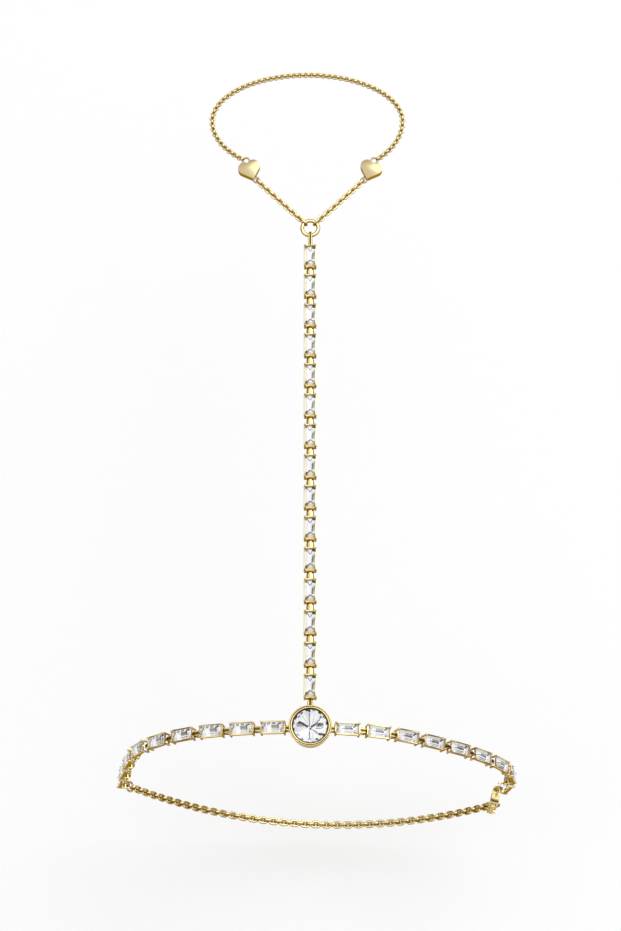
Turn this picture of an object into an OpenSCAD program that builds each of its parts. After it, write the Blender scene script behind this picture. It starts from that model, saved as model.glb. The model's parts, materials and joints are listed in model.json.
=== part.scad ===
/* [Centre stone and bezel] */
// Diameter of the round centre stone
round_d = 6; // [5:0.1:6.5]
// Height of the bezel cup from its back to its rim
bezel_h = 2.9; // [2.8:0.05:3.4]
// Wall of the bezel beside the stone
bezel_wall = 0.5; // [0.4:0.05:0.8]
// How far the bezel narrows toward its back, on the radius
bezel_taper = 0.5; // [0.3:0.05:0.6]

/* [Baguette stones] */
// Length of a baguette stone
stone_l = 3.8; // [3.4:0.1:4.4]
// Width of a baguette stone
stone_w = 1.76; // [1.6:0.02:2.3]
// Height of the crown, girdle to table
crown_h = 0.4; // [0.3:0.05:0.5]
// Depth of the pavilion, girdle to keel
pavilion_h = 0.75; // [0.6:0.05:0.8]
// Corner cropped off the stone's outline
corner_cut = 0.28; // [0.24:0.01:0.34]

/* [Settings] */
// Diameter of a corner prong
prong_d = 0.34; // [0.3:0.02:0.42]
// Thickness of a side rail
rail_t = 0.18; // [0.16:0.02:0.3]
// Height of the upper rails that hold the stone
rail_h = 0.42; // [0.36:0.02:0.6]
// Diameter of the cross bar at each end of a setting
bar_d = 0.34; // [0.3:0.02:0.4]

/* [Strips of settings] */
// Number of settings between the bezel and the finger ring
hand_count = 15; // [10:1:15]
// Number of settings on each side of the wrist
wrist_count = 9; // [7:1:9]
// Space between neighbouring settings on the hand
hand_gap = 1.4; // [1.2:0.05:1.8]
// Space between neighbouring settings on the wrist
wrist_gap = 1; // [0.9:0.05:1.4]
// Space between the bezel and the first hand setting
hand_first_gap = 1.55; // [1:0.05:1.8]
// Space between the bezel and the first wrist setting
wrist_first_gap = 0.45; // [0.45:0.05:1]
// Width of a strap link on the wrist and at the bezel
strap_w = 1; // [0.8:0.02:1.1]
// Thickness of a strap link
strap_t = 0.24; // [0.18:0.02:0.28]

/* [Finger ring of chain] */
// Outside diameter of the ring that gathers the two short chains
top_ring_d = 3.5; // [3.2:0.05:4]
// Wire of that ring
top_ring_wire = 0.68; // [0.5:0.02:0.72]
// Space from the last hand setting to that ring
top_ring_gap = 1.9; // [1.6:0.05:2.4]
// Angle of each short chain from the cross direction
leg_angle = 44.5; // [40:0.5:56]
// Number of links in each short chain, an even number
leg_links = 14; // [10:2:18]
// Wire of the short chains
leg_wire = 0.28; // [0.22:0.01:0.3]
// Length of a link of the short chains
leg_link_l = 1.42; // [1.42:0.01:1.8]
// Width of a link of the short chains
leg_link_w = 1.04; // [1.02:0.02:1.3]
// Width of a heart
heart_w = 3.9; // [3.2:0.1:4.6]
// Thickness of a heart
heart_t = 1.2; // [0.8:0.1:1.6]
// Width of the finger loop at its widest
loop_w = 33.6; // [29:0.2:38]
// Reach of the loop behind its widest place
loop_back = 9.1; // [7:0.1:12]
// Reach of the loop from the hearts' eyes to its widest place
loop_front = 7.8; // [6:0.1:12]
// Thickness of the fine chain behind the hearts
fine_chain_d = 1; // [0.7:0.05:1.2]

/* [Wrist chain and clasp] */
// Number of links in the wrist chain, an even number
wrist_links = 74; // [68:2:78]
// Wire of the wrist chain
wrist_wire = 0.36; // [0.28:0.01:0.38]
// Length of a link of the wrist chain
wrist_link_l = 1.78; // [1.7:0.02:2.1]
// Width of a link of the wrist chain
wrist_link_w = 1.36; // [1.32:0.02:1.6]
// Outside diameter of the ring at the chain's left end
end_ring_d = 2.1; // [2.1:0.05:2.6]
// Outside diameter of the ring that the clasp catches
catch_ring_d = 2.9; // [2.7:0.05:3.4]
// Wire of both rings
ring_wire = 0.36; // [0.3:0.02:0.4]
// Length of the clasp's claw from its neck to its nose
claw_l = 6.7; // [6.2:0.1:8]
// Width of the clasp's claw
claw_w = 4.4; // [4:0.1:5]
// Thickness of the clasp
clasp_t = 1.4; // [1.2:0.05:1.5]
// Thickness of the clasp's bow round its opening
bow_t = 0.85; // [0.7:0.05:1]
// Thickness of the clasp's lever
lever_t = 0.7; // [0.6:0.05:0.8]

/* [Hidden] */
$fn = 32;
GOLD = [0.86, 0.69, 0.3];
CRYSTAL = [0.88, 0.93, 0.97];

// Clear space between loose pieces, and between a stone and its seat
clear = 0.1;
fine_clear = 0.07;
seat_clear = 0.06;
// How far the clasp's neck runs into its eye
neck_sink = 0.1;
// Extra length of a strap where it holds a ring, whose wire bends away from it
ring_ease = 0.06;

// How the wrist ring hangs: forward lean and turn of its plane, in degrees
ring_lean_angle = 3;
ring_yaw_angle = 1;
// Share of a wrist strip passed, and degrees below level of the setting there
LEFT_FALL_ANGLES = [[0, 7], [0.25, 17.5], [0.5, 43.5], [0.75, 78], [1, 83]];
RIGHT_FALL_ANGLES = [[0, 7.5], [0.25, 28.5], [0.5, 37], [0.75, 55], [1, 107]];
// Degrees below level at which the clasp hangs, and its turn about its length
clasp_fall_angle = 94;
clasp_turn_angle = 15;

// Strap links and the line of bars that they turn on
strap_in = bar_d / 2 + clear + 0.03;
slack = strap_in - bar_d / 2 - fine_clear;
strap_out = strap_in + strap_t;
link_z = strap_out + fine_clear;

// Setting, measured from the link line
prong_off = (prong_d / 2 + seat_clear) / sqrt(2) - corner_cut / 2;
post_x = stone_l / 2 + prong_off;
post_y = stone_w / 2 + prong_off;
setting_l = 2 * post_x + prong_d;
gallery_z = strap_out + clear;
rail_top = gallery_z + rail_h;
girdle_t = 0.1;
girdle_z = rail_top - girdle_t;
post_foot = 0.05;
tip_swell = 0.03;
tip_lift = 0.19;
foot_z = -bar_d / 2 - post_foot;
tip_r = prong_d / 2 + tip_swell;
tip_z = rail_top + tip_lift;
hand_strap_w = 2 * (post_y - prong_d / 2 - fine_clear);
hand_pitch = setting_l + hand_gap;
wrist_pitch = setting_l + wrist_gap;

// Bezel
bezel_r = round_d / 2 + seat_clear + bezel_wall;
rim_r = bezel_wall / 2;
foot_r = bezel_r - bezel_taper;
foot_in_r = foot_r - bezel_wall;
stone_drop = 0.5;
seat_ledge = 0.22;
seat_slope_h = 0.3;
seat_play = 0.08;
lip_over = 0.1;
lip_h = 0.1;
lip_drop = 0.26;
round_girdle_z = bezel_h - stone_drop;
round_crown_h = 0.125 * round_d;
round_pavilion_h = 0.36 * round_d;
seat_r = round_d / 2 - seat_ledge;

// Hand strip
hand_first_y = bezel_r + hand_first_gap + setting_l / 2;
hand_last_y = hand_first_y + (hand_count - 1) * hand_pitch;
top_ring_y = hand_last_y + setting_l / 2 + top_ring_gap + top_ring_d / 2;
bail_in = top_ring_wire / 2 + fine_clear;

// Short chains, measured outwards from the centre of the top ring
top_ring_mid = (top_ring_d - top_ring_wire) / 2;
leg_pitch = leg_link_l - 2 * leg_wire - clear;
leg_hook_w = top_ring_wire + 2 * (clear + leg_wire);
leg_hook_l = top_ring_wire + 3 * leg_wire + 4 * clear;
leg_hook_at = top_ring_mid - top_ring_wire / 2 - fine_clear - leg_wire + leg_hook_l / 2;
leg_first_at = leg_hook_at + leg_hook_l / 2 + leg_link_l / 2 - 2 * leg_wire - clear;
leg_last_at = leg_first_at + (leg_links - 1) * leg_pitch;

// Hearts
heart_s = heart_w / (1 + 1 / sqrt(2));
heart_tilt_angle = 20;
heart_eye_d = 1.5;
heart_eye_wire = 0.34;
low_eye_d = 1.3;
heart_sink = 0.2;
notch_sink = 0.06;
low_eye_share = 0.42;
low_eye = [-(heart_s / 2 + low_eye_d / 2 - heart_sink), -low_eye_share * heart_s];
top_eye = [0, heart_s / sqrt(2) + heart_eye_d / 2 - notch_sink];
leg_eye_at = leg_last_at + leg_link_l / 2 - leg_wire + low_eye_d / 2 - heart_eye_wire - clear;
function turn(p, a) = [p[0] * cos(a) - p[1] * sin(a), p[0] * sin(a) + p[1] * cos(a)];
leg_end = [0, top_ring_y] + leg_eye_at * [cos(leg_angle), sin(leg_angle)];
low_eye_turned = turn(turn(low_eye, 45), -heart_tilt_angle);
heart_at = leg_end - low_eye_turned;
top_eye_at = heart_at + turn(top_eye, -heart_tilt_angle);

// Fine chain behind the hearts: two half ovals that meet where the loop is widest
// It sits a little to the left, as in the picture
loop_shift = -0.5;
oval_y = top_eye_at[1] + loop_front;
function start_angle(side) = acos((top_eye_at[0] - side * loop_shift) / (loop_w / 2));
function oval(t) = [
    loop_shift + loop_w / 2 * cos(t),
    oval_y + sin(t) * (sin(t) > 0 ? loop_back : loop_front / sin(start_angle(sign(cos(t)))))
];
fine_steps = 44;
fine_inset = 4.2;
first_turn = fine_inset - start_angle(1);
last_turn = 180 + start_angle(-1) - fine_inset;
fine_sides = 8;
function fine_point(i) = oval(first_turn + (last_turn - first_turn) * i / fine_steps);
function fine_heading(i) = let (d = fine_point(i + 0.5) - fine_point(i - 0.5)) d / norm(d);

// Wrist strips, in the plane of the wrist ring: u outwards, v up
function fall(side, i) = lookup(i / (wrist_count - 1), side < 0 ? LEFT_FALL_ANGLES : RIGHT_FALL_ANGLES);
function down(a) = [cos(a), -sin(a)];
function joint(side, i) = i == 0
    ? [bezel_r + wrist_first_gap - wrist_gap / 2, link_z]
    : joint(side, i - 1) + wrist_pitch * down(fall(side, i - 1));
function setting_mid(side, i) = joint(side, i) + wrist_pitch / 2 * down(fall(side, i));
function near_bar(side, i) = setting_mid(side, i) - post_x * down(fall(side, i));
function far_bar(side, i) = setting_mid(side, i) + post_x * down(fall(side, i));
bezel_bar_in = 0.2;
bezel_bar = [foot_in_r + bezel_bar_in, link_z];

// Clasp, hung from the last bar on the right by a strap link
eye_d = 1.9;
eye_wire = 0.38;
eye_mid = (eye_d - eye_wire) / 2;
eye_strap_w = 0.6 * strap_w;
ring_strap_w = 0.78 * strap_w;
strap_reach = wrist_gap + prong_d;
eye_bar = far_bar(1, wrist_count - 1) + strap_reach * down((fall(1, wrist_count - 1) + clasp_fall_angle) / 2);
clasp_at = eye_bar + eye_mid * down(clasp_fall_angle);
neck_x = eye_d / 2 - neck_sink;
neck_d = 0.6;
nose_x = neck_x + claw_l;
heel_r = 0.38 * claw_w;
nose_r = claw_w / 2;
heel_x = neck_x + heel_r;
head_x = nose_x - nose_r;
hole_heel_r = heel_r - bow_t;
hole_nose_r = nose_r - bow_t;
heel_solid = 1.35;
hole_x = heel_x + heel_solid;
pivot = [heel_x + 0.15, -0.4 * claw_w / 2];
pin_r = 0.22;
pin_sunk = 0.02;
hub_r = 0.56;
thumb_r = 0.4;
thumb_x = 0.35;
thumb_out = 0.1;
mouth_back = 0.2;
lever_back = 0.3;
slot_back = 0.75;
slot_l = 2;
slot_above = 0.35;
lever_edge = 0.5;
lever_tip = 0.15;
lever_reach = norm([head_x + lever_tip, -nose_r + bow_t / 2] - pivot);
bow_mid = nose_x - bow_t / 2;

// Rings and wrist chain along a hanging curve between the last left bar and the clasp's bow
wrist_pitch_l = wrist_link_l - 2 * wrist_wire - clear;
end_ring_in = end_ring_d / 2 - ring_wire;
catch_ring_in = catch_ring_d / 2 - ring_wire;
left_fall_end = fall(-1, wrist_count - 1);
left_bar = far_bar(-1, wrist_count - 1);
left_strap_angle = 12;
start_uv = left_bar + strap_reach * down(left_fall_end + left_strap_angle);
chain_a = [-start_uv[0], start_uv[1]];
chain_b = clasp_at + bow_mid * down(clasp_fall_angle);
end_ring_s = (end_ring_d - ring_wire) / 2;
first_link_s = end_ring_s + end_ring_in + wrist_link_l / 2 - wrist_wire - clear;
last_link_s = first_link_s + (wrist_links - 1) * wrist_pitch_l;
catch_ring_s = last_link_s + wrist_link_l / 2 - wrist_wire + catch_ring_in - clear;
bow_in_ring = catch_ring_in - fine_clear - norm([bow_t / 2, clasp_t / 2 + fine_clear]);
hang_l = catch_ring_s + bow_in_ring;

// The hanging curve's scale comes from its length, its span and its ends' height
function sinh(x) = (exp(x) - exp(-x)) / 2;
function asinh(x) = ln(x + sqrt(x * x + 1));
span = chain_b[0] - chain_a[0];
rise = chain_b[1] - chain_a[1];
flat_l = sqrt(hang_l * hang_l - rise * rise);
function scale_for(lo, hi, n) = let (a = (lo + hi) / 2)
    n == 0 ? a : 2 * a * sinh(span / 2 / a) > flat_l ? scale_for(a, hi, n - 1) : scale_for(lo, a, n - 1);
hang_scale = scale_for(span / 12, span * 20, 40);
low_x = span / 2 - hang_scale * asinh(rise / (2 * hang_scale * sinh(span / 2 / hang_scale)));
low_s = hang_scale * sinh(low_x / hang_scale);
function hang_x(s) = low_x + hang_scale * asinh((s - low_s) / hang_scale);
function hang_slope(s) = atan((s - low_s) / hang_scale);
function hang_z(s) = hang_scale * (sqrt(1 + pow((s - low_s) / hang_scale, 2)) - sqrt(1 + pow(low_s / hang_scale, 2)));
function hang_point(s) = chain_a + [hang_x(s), hang_z(s)];

// Outline of a rectangle with cropped corners
function crop_outline(l, w, c) = [
    [l / 2 - c, -w / 2], [l / 2, -w / 2 + c], [l / 2, w / 2 - c], [l / 2 - c, w / 2],
    [-l / 2 + c, w / 2], [-l / 2, w / 2 - c], [-l / 2, -w / 2 + c], [-l / 2 + c, -w / 2]
];
function ring_at(outline, z) = [for (p = outline) [p[0], p[1], z]];

// Closed solid through rings of equal point count, lowest ring first
module through_rings(rings) {
    n = len(rings[0]);
    m = len(rings);
    polyhedron(
        points = [for (r = rings) each r],
        faces = concat(
            [[for (k = [0:n - 1]) k]],
            [for (j = [0:m - 2], k = [0:n - 1]) [j * n + k, (j + 1) * n + k, (j + 1) * n + (k + 1) % n, j * n + (k + 1) % n]],
            [[for (k = [n - 1:-1:0]) (m - 1) * n + k]]
        )
    );
}

// Step cut stone: keel, pavilion step, girdle, crown step and table, from the girdle down and up
module baguette() {
    through_rings([
        ring_at(crop_outline(0.37 * stone_l, 0.12 * stone_w, 0.02 * stone_w), -pavilion_h),
        ring_at(crop_outline(0.75 * stone_l, 0.62 * stone_w, 0.6 * corner_cut), -0.5 * pavilion_h),
        ring_at(crop_outline(stone_l, stone_w, corner_cut), 0),
        ring_at(crop_outline(stone_l, stone_w, corner_cut), girdle_t),
        ring_at(crop_outline(0.91 * stone_l, 0.83 * stone_w, 0.8 * corner_cut), girdle_t + 0.5 * crown_h),
        ring_at(crop_outline(0.78 * stone_l, 0.58 * stone_w, 0.6 * corner_cut), crown_h)
    ]);
}

// Round brilliant: table, stars, kites, halves, girdle and pavilion, girdle's lower edge at zero
module brilliant() {
    r = round_d / 2;
    table_r = 0.56 * r;
    star_r = 0.8 * r;
    half = 22.5;
    star_z = girdle_t + (round_crown_h - girdle_t) * (r - star_r * cos(half)) / (r - table_r);
    low_r = 0.28 * r;
    low_z = -round_pavilion_h * (1 - low_r * cos(half) / r);
    polyhedron(
        points = concat(
            [for (i = [0:7]) [table_r * cos(45 * i), table_r * sin(45 * i), round_crown_h]],
            [for (i = [0:7]) [star_r * cos(45 * i + half), star_r * sin(45 * i + half), star_z]],
            [for (i = [0:15]) [r * cos(half * i), r * sin(half * i), girdle_t]],
            [for (i = [0:15]) [r * cos(half * i), r * sin(half * i), 0]],
            [for (i = [0:7]) [low_r * cos(45 * i + half), low_r * sin(45 * i + half), low_z]],
            [[0, 0, -round_pavilion_h]]
        ),
        faces = concat(
            [[for (i = [7:-1:0]) i]],
            [for (i = [0:7]) [i, (i + 1) % 8, 8 + i]],
            [for (i = [0:7]) [i, 8 + i, 16 + 2 * i]],
            [for (i = [0:7]) [(i + 1) % 8, 16 + (2 * i + 2) % 16, 8 + i]],
            [for (i = [0:7]) [8 + i, 17 + 2 * i, 16 + 2 * i]],
            [for (i = [0:7]) [8 + i, 16 + (2 * i + 2) % 16, 17 + 2 * i]],
            [for (i = [0:15]) [16 + i, 16 + (i + 1) % 16, 32 + (i + 1) % 16, 32 + i]],
            [for (i = [0:7]) [32 + 2 * i, 33 + 2 * i, 48 + i]],
            [for (i = [0:7]) [33 + 2 * i, 32 + (2 * i + 2) % 16, 48 + i]],
            [for (i = [0:7]) [32 + 2 * i, 48 + i, 56]],
            [for (i = [0:7]) [48 + i, 32 + (2 * i + 2) % 16, 56]]
        )
    );
}

// Setting of one baguette: rails, end rails, cross bars and corner prongs, from the link line
module setting() {
    rail_y = stone_w / 2 + seat_clear;
    end_x = stone_l / 2 + seat_clear;
    for (s = [-1, 1]) {
        translate([-post_x, s > 0 ? rail_y : -rail_y - rail_t, gallery_z]) cube([2 * post_x, rail_t, rail_h]);
        translate([s > 0 ? end_x : -end_x - prong_d / 3, -rail_y - rail_t / 2, gallery_z + rail_h / 2])
            cube([prong_d / 3, 2 * rail_y + rail_t, rail_h / 2]);
        translate([s * post_x, post_y, 0]) rotate([90, 0, 0]) cylinder(h = 2 * post_y, d = bar_d);
        for (t = [-1, 1]) {
            translate([s * post_x, t * post_y, foot_z]) cylinder(h = tip_z - foot_z, d = prong_d);
            translate([s * (post_x - tip_swell), t * (post_y - tip_swell), tip_z]) sphere(r = tip_r);
        }
    }
}

// Two round ends joined by their outer tangents, on the X axis
module egg(x1, r1, x2, r2) {
    lean = asin((r2 - r1) / (x2 - x1));
    translate([x1, 0]) circle(r = r1);
    translate([x2, 0]) circle(r = r2);
    polygon([for (q = [[x1, r1, 1], [x2, r2, 1], [x2, r2, -1], [x1, r1, -1]])
        [q[0] - q[1] * sin(lean), q[2] * q[1] * cos(lean)]]);
}

// Flat strap bent round two bars that lie along Y, with its inner end circles at x = a and x = b
module strap(a, b, inner = strap_in, w = strap_w) rotate([90, 0, 0])
    linear_extrude(w, center = true) difference() {
        union() for (r = [inner + strap_t]) {
            translate([a, 0]) circle(r = r);
            translate([b, 0]) circle(r = r);
            translate([a, -r]) square([b - a, 2 * r]);
        }
        translate([a, 0]) circle(r = inner);
        translate([b, 0]) circle(r = inner);
        translate([a, -inner]) square([b - a, 2 * inner]);
    }

// Oval link in the XY plane, long axis along X
module oval_link(l, w, wire) {
    bend_r = (w - wire) / 2;
    half_l = l / 2 - w / 2;
    for (s = [0, 1]) rotate([0, 0, 180 * s]) {
        translate([half_l, 0, 0]) rotate([0, 0, -90]) rotate_extrude(angle = 180)
            translate([bend_r, 0]) circle(d = wire);
        translate([-half_l, bend_r, 0]) rotate([0, 90, 0]) cylinder(h = 2 * half_l, d = wire);
    }
}

module round_ring(d, wire) rotate_extrude() translate([(d - wire) / 2, 0]) circle(d = wire);

// Places
module in_ring_plane() rotate([0, 0, -ring_yaw_angle]) rotate([-ring_lean_angle, 0, 0]) children();
module on_side(side, p, a) in_ring_plane() translate([side * p[0], 0, p[1]]) rotate([0, side * a, 0]) children();
module on_hand(y) translate([0, y, link_z]) rotate([0, 0, 90]) children();
module on_leg(side, at) translate([0, top_ring_y, link_z])
    rotate([0, 0, side > 0 ? leg_angle : 180 - leg_angle]) translate([at, 0, 0]) children();
module on_hang(s, roll) in_ring_plane() translate([hang_point(s)[0], 0, hang_point(s)[1]])
    rotate([0, -hang_slope(s), 0]) rotate([roll, 0, 0]) children();

// Strap between the bar at p and the bar or ring at q of one side
module side_strap(side, p, q, ease = -slack, w = strap_w, roll = 0)
    on_side(side, (p + q) / 2, atan2(p[1] - q[1], q[0] - p[0])) rotate([roll, 0, 0])
        strap(slack - norm(q - p) / 2, norm(q - p) / 2 + ease, w = w);

module bezel() color(GOLD) difference() {
    union() {
        rotate_extrude() {
            polygon([
                [foot_in_r, 0], [foot_r, 0], [bezel_r, bezel_h - rim_r], [bezel_r - rim_r, bezel_h],
                [round_d / 2 - 0.6 * lip_over, bezel_h - lip_drop + lip_h], [round_d / 2 - lip_over, bezel_h - lip_drop],
                [round_d / 2 + seat_clear, round_girdle_z + girdle_t + seat_play],
                [round_d / 2 + seat_clear, round_girdle_z - seat_play], [seat_r, round_girdle_z - seat_slope_h]
            ]);
        }
        translate([0, 0, bezel_h - rim_r]) round_ring(2 * bezel_r, 2 * rim_r);
    }
    for (a = [90, -ring_yaw_angle, 180 - ring_yaw_angle]) rotate([0, 0, a]) {
        translate([foot_in_r - bezel_wall, -strap_w / 2 - clear, link_z + bar_d / 2])
            cube([bezel_r, strap_w + 2 * clear, strap_out + clear - bar_d / 2]);
        translate([foot_in_r - bezel_wall, -strap_w / 2 - clear, -link_z])
            cube([bezel_r, strap_w + 2 * clear, 2 * link_z - bar_d / 2]);
    }
}

module centre_stone() color(CRYSTAL) translate([0, 0, round_girdle_z]) brilliant();

module hand_setting(i) color(GOLD) on_hand(hand_first_y + (i - 1) * hand_pitch) setting();
module side_setting(side, i) color(GOLD) on_side(side, setting_mid(side, i - 1), fall(side, i - 1)) setting();

module hand_stones() color(CRYSTAL) for (i = [0:hand_count - 1])
    on_hand(hand_first_y + i * hand_pitch) translate([0, 0, girdle_z]) baguette();
module side_stones(side) color(CRYSTAL) for (i = [0:wrist_count - 1])
    on_side(side, setting_mid(side, i), fall(side, i)) translate([0, 0, girdle_z]) baguette();

module hand_straps() color(GOLD) {
    on_hand(0) strap(bezel_bar[0] + slack, hand_first_y - post_x - slack);
    for (i = [1:hand_count - 1]) on_hand(hand_first_y + (i - 0.5) * hand_pitch)
        strap(post_x + slack - hand_pitch / 2, hand_pitch / 2 - post_x - slack, w = hand_strap_w);
}

module side_straps(side) color(GOLD) {
    side_strap(side, bezel_bar, near_bar(side, 0));
    for (i = [1:wrist_count - 1]) side_strap(side, far_bar(side, i - 1), near_bar(side, i));
    if (side < 0) side_strap(side, left_bar, start_uv, ring_ease, ring_strap_w);
    if (side > 0) side_strap(side, far_bar(side, wrist_count - 1), eye_bar, ring_ease, eye_strap_w, clasp_turn_angle / 2);
}

module ring_bail() color(GOLD) on_hand(0)
    strap(hand_last_y + post_x + bail_in - bar_d / 2 - fine_clear, top_ring_y - top_ring_mid + ring_ease, bail_in,
        ring_strap_w);

module top_ring() color(GOLD) translate([0, top_ring_y, link_z]) round_ring(top_ring_d, top_ring_wire);

module finger_chain(side) color(GOLD) {
    on_leg(side, leg_hook_at) rotate([90, 0, 0]) oval_link(leg_hook_l, leg_hook_w, leg_wire);
    for (i = [0:leg_links - 1]) on_leg(side, leg_first_at + i * leg_pitch)
        rotate([90 * (i % 2), 0, 0]) oval_link(leg_link_l, leg_link_w, leg_wire);
}

// Flat heart, point towards -Y, with an eye in its notch and one on its lower edge
module heart() {
    translate([0, 0, -heart_t / 2]) linear_extrude(heart_t) {
        rotate([0, 0, 45]) square(heart_s, center = true);
        for (s = [-1, 1]) translate([s * heart_s / 2 / sqrt(2), heart_s / 2 / sqrt(2)]) circle(d = heart_s);
    }
    translate([top_eye[0], top_eye[1], 0]) round_ring(heart_eye_d, heart_eye_wire);
    rotate([0, 0, 45]) translate([low_eye[0], low_eye[1], 0]) round_ring(low_eye_d, heart_eye_wire);
}

module heart_side(side) color(GOLD) mirror([side > 0 ? 0 : 1, 0, 0])
    translate([heart_at[0], heart_at[1], link_z]) rotate([0, 0, -heart_tilt_angle]) heart();

// Plain tube in place of the finest chain
module finger_chain_back() color(GOLD) {
    translate([0, 0, link_z]) through_rings([
        for (i = [fine_steps:-1:0]) let (p = fine_point(i), h = fine_heading(i))
            [for (k = [0:fine_sides - 1]) let (a = 360 * (k + 0.5) / fine_sides, c = fine_chain_d / 2 * cos(a))
                [p[0] + h[1] * c, p[1] - h[0] * c, fine_chain_d / 2 * sin(a)]]
    ]);
}

module end_ring() color(GOLD) on_hang(end_ring_s, 0) round_ring(end_ring_d, ring_wire);
module catch_ring() color(GOLD) on_hang(catch_ring_s, 90) round_ring(catch_ring_d, ring_wire);

module wrist_chain(first, last) color(GOLD) for (i = [first:last])
    on_hang(first_link_s + i * wrist_pitch_l, 90 * ((i + 1) % 2)) oval_link(wrist_link_l, wrist_link_w, wrist_wire);

module claw_outline() egg(heel_x, heel_r, head_x, nose_r);
module claw_hole() egg(hole_x, hole_heel_r, head_x, hole_nose_r);
module on_clasp() on_side(1, clasp_at, clasp_fall_angle) rotate([clasp_turn_angle, 0, 0]) children();

module clasp_body() color(GOLD) on_clasp() {
    difference() {
        union() {
            translate([0, 0, -clasp_t / 2]) linear_extrude(clasp_t) difference() {
                claw_outline();
                claw_hole();
            }
            translate([eye_mid, 0, 0]) rotate([0, 90, 0]) cylinder(h = neck_d, d = neck_d);
            round_ring(eye_d, eye_wire);
        }
        translate([0, 0, -clasp_t]) linear_extrude(2 * clasp_t) intersection() {
            translate([hole_x - mouth_back, -claw_w]) square([claw_l, claw_w - lever_edge + clear]);
            translate(pivot) circle(r = lever_reach + clear);
        }
        translate([pivot[0] - slot_back, -claw_w, -lever_t / 2 - fine_clear])
            cube([slot_l, claw_w + slot_above, lever_t + 2 * fine_clear]);
    }
    translate([pivot[0], pivot[1], pin_sunk - clasp_t / 2]) cylinder(h = clasp_t - 2 * pin_sunk, r = pin_r);
}

module clasp_lever() color(GOLD) on_clasp() translate([0, 0, -lever_t / 2]) difference() {
    union() {
        linear_extrude(lever_t) intersection() {
            claw_outline();
            translate([pivot[0] - lever_back, -claw_w]) square([claw_l, claw_w - lever_edge]);
            translate(pivot) circle(r = lever_reach);
        }
        translate(pivot) cylinder(h = lever_t, r = hub_r);
        translate([pivot[0] + thumb_x, -heel_r - thumb_out, 0]) cylinder(h = lever_t, r = thumb_r);
    }
    translate([0, 0, -lever_t]) linear_extrude(3 * lever_t) claw_hole();
    translate([pivot[0], pivot[1], -lever_t]) cylinder(h = 3 * lever_t, r = pin_r + fine_clear);
}

bezel();
centre_stone();
for (i = [1:hand_count]) hand_setting(i);
for (i = [1:wrist_count]) side_setting(-1, i);
for (i = [1:wrist_count]) side_setting(1, i);
hand_stones();
side_stones(-1);  // left_stones
side_stones(1);  // right_stones
hand_straps();
side_straps(-1);  // left_straps
side_straps(1);  // right_straps
ring_bail();
top_ring();
finger_chain(-1);  // finger_chain_left
finger_chain(1);  // finger_chain_right
heart_side(-1);  // heart_left
heart_side(1);  // heart_right
finger_chain_back();
end_ring();
wrist_chain(0, floor(wrist_links / 2) - 1);  // wrist_chain_left
wrist_chain(floor(wrist_links / 2), wrist_links - 1);  // wrist_chain_right
catch_ring();
clasp_body();
clasp_lever();
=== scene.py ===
"""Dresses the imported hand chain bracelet: polished gold, cut stones, fine chain and the studio."""

import json
from math import acos, atan2, cos, degrees, hypot, pi, radians, sin, sqrt, tan

import bmesh
import bpy
from bpy.props import FloatProperty, FloatVectorProperty, IntProperty, PointerProperty
from mathutils import Matrix, Vector


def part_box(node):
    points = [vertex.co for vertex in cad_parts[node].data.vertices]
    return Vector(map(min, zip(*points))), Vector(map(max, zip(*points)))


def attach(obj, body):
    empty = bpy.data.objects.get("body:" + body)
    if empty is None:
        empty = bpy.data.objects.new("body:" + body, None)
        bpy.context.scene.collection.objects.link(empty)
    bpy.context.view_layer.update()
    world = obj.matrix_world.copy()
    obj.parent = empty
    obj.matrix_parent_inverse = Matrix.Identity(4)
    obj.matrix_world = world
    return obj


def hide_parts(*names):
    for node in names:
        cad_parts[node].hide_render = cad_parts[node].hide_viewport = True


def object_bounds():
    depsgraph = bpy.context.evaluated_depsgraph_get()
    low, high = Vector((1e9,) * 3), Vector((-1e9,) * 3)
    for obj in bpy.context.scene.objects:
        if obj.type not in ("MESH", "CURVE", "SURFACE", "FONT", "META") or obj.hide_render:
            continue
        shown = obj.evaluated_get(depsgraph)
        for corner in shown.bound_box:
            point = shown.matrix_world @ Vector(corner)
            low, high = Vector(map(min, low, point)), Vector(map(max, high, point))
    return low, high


bl_info = {
    "name": "Hand chain bracelet",
    "version": (1, 0, 0),
    "blender": (4, 5, 0),
    "location": "3D View > Sidebar > Hand chain",
    "description": "Polished metal, cut stones and fine chain for the packed hand chain bracelet",
    "category": "Object",
}

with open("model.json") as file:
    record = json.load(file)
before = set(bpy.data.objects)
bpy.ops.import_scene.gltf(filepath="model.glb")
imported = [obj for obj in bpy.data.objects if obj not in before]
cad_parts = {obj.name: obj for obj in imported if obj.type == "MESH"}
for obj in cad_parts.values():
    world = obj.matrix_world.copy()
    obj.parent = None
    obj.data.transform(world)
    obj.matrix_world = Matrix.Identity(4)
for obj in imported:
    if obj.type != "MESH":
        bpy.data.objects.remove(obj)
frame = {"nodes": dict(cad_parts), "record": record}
CAD_BOX = [[float(x) for x in corner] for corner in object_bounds()]
SLOTS = {part["node"]: part["material_slot"] for part in frame["record"]["subparts"]}
MM = 0.001

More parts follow.
